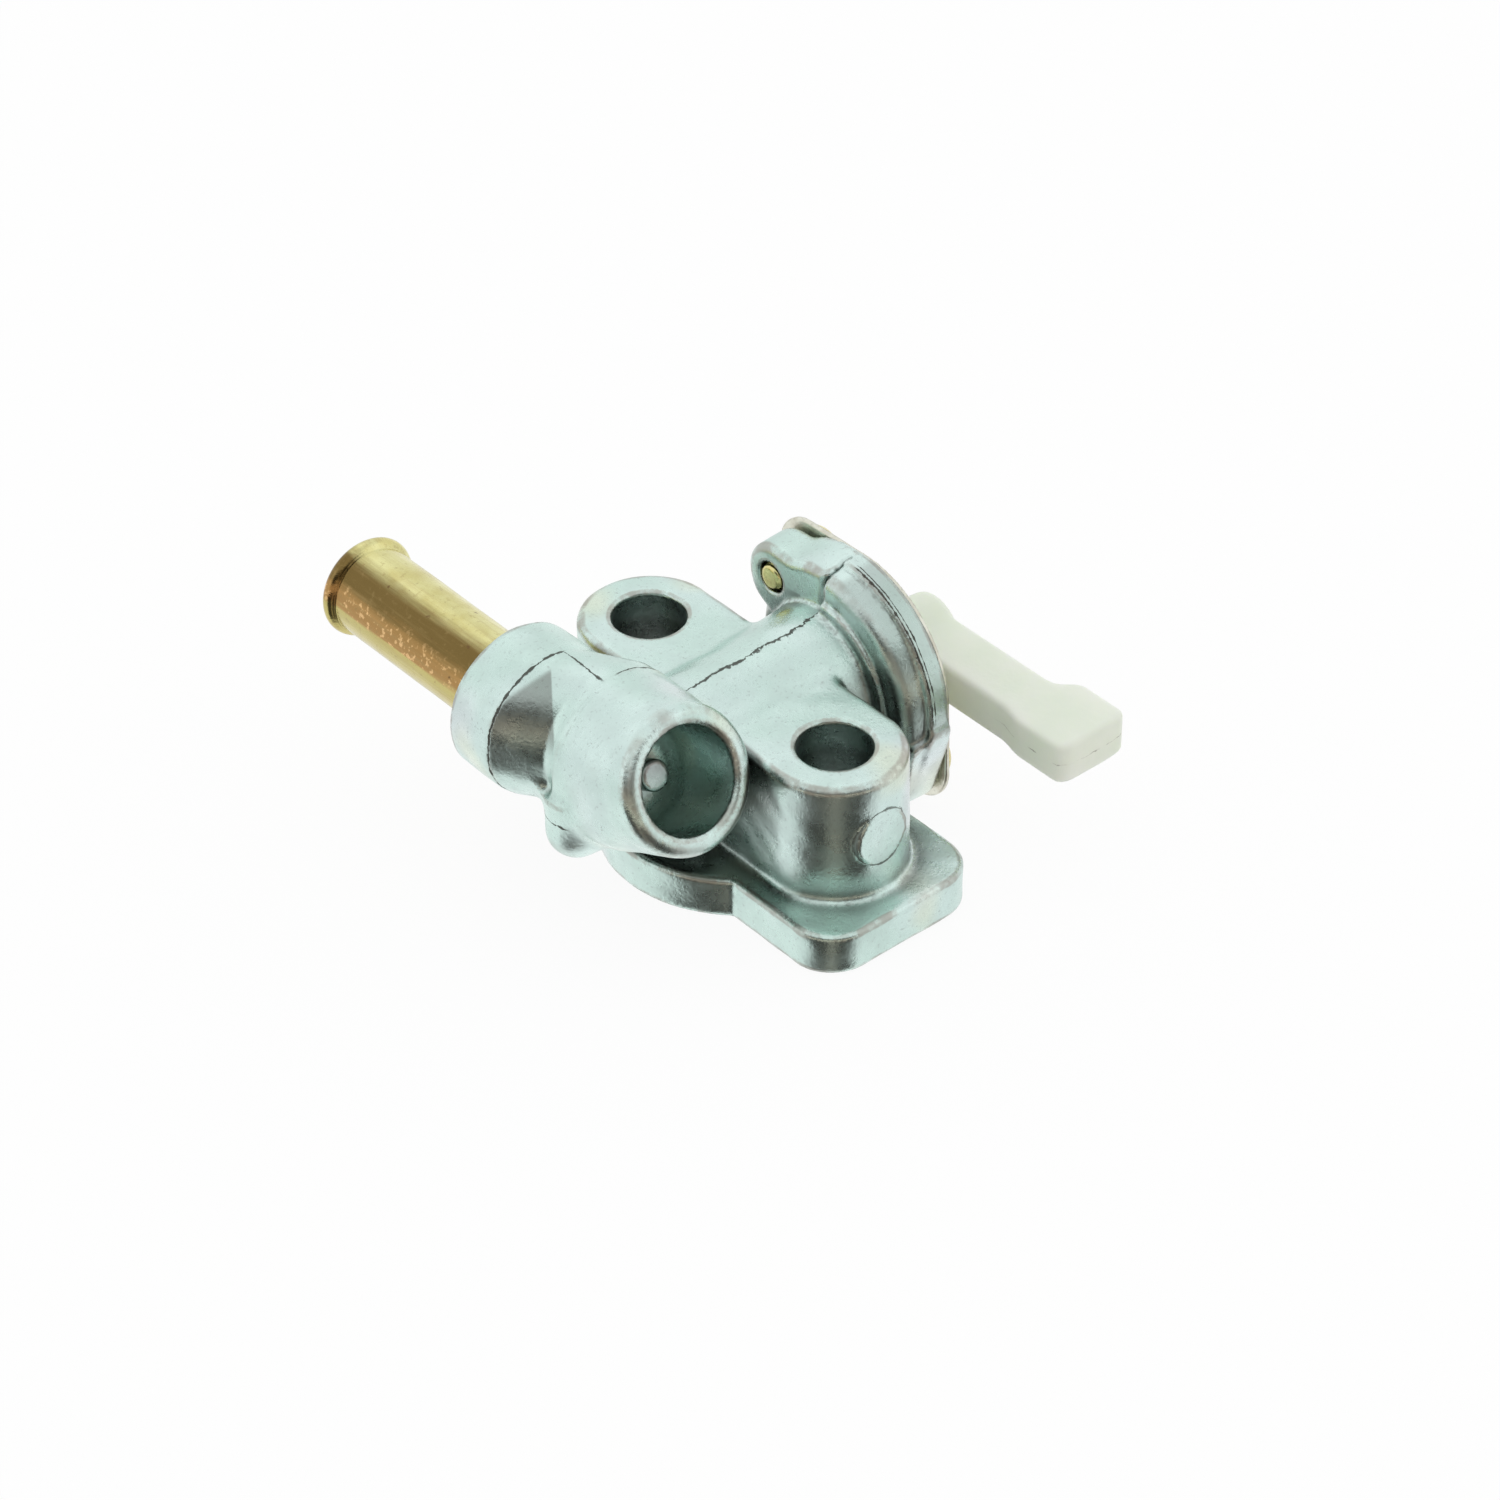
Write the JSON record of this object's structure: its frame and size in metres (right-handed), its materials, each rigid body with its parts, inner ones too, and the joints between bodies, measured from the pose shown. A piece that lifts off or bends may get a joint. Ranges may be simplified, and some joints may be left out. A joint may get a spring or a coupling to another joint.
{
  "type": "fuel tap",
  "caption": "Die-cast fuel tap with a bolt-on flange, a straight brass hose spigot and a turning nylon lever on a ported seal.",
  "frame": {"origin": "middle of the flange, on its flat mounting face", "axes": "+X along the valve axis toward the lever, +Y along the line of the two bolt holes toward the hose spigot, +Z away from the tank"},
  "size_m": [0.046, 0.0548, 0.0225],
  "materials": {
    "zinc_casting": "satin zinc die casting, clear passivated",
    "brass": "drawn, lightly tarnished",
    "seal_rubber": "moulded",
    "white_nylon": "moulded natural nylon",
    "ring_rubber": "moulded",
    "spring_steel": "plain",
    "plated_sheet": "zinc plated",
    "yellow_zinc": "yellow passivated zinc"
  },
  "bodies": {
    "tap": {"body": "zinc_casting", "outlet_tube": "brass", "valve_seal": "seal_rubber", "cup_ring": "ring_rubber", "wave_washer": "spring_steel", "retaining_plate": "plated_sheet", "screw_upper": "yellow_zinc", "screw_lower": "yellow_zinc"},
    "handle": {"lever": "white_nylon"}
  },
  "joints": [
    {"name": "lever_turn", "type": "hinge", "parent": "tap", "child": "handle", "pos_m": [0, 0, 0.0111], "axis": [-1, 0, 0], "range_deg": [0, 180]}
  ]
}
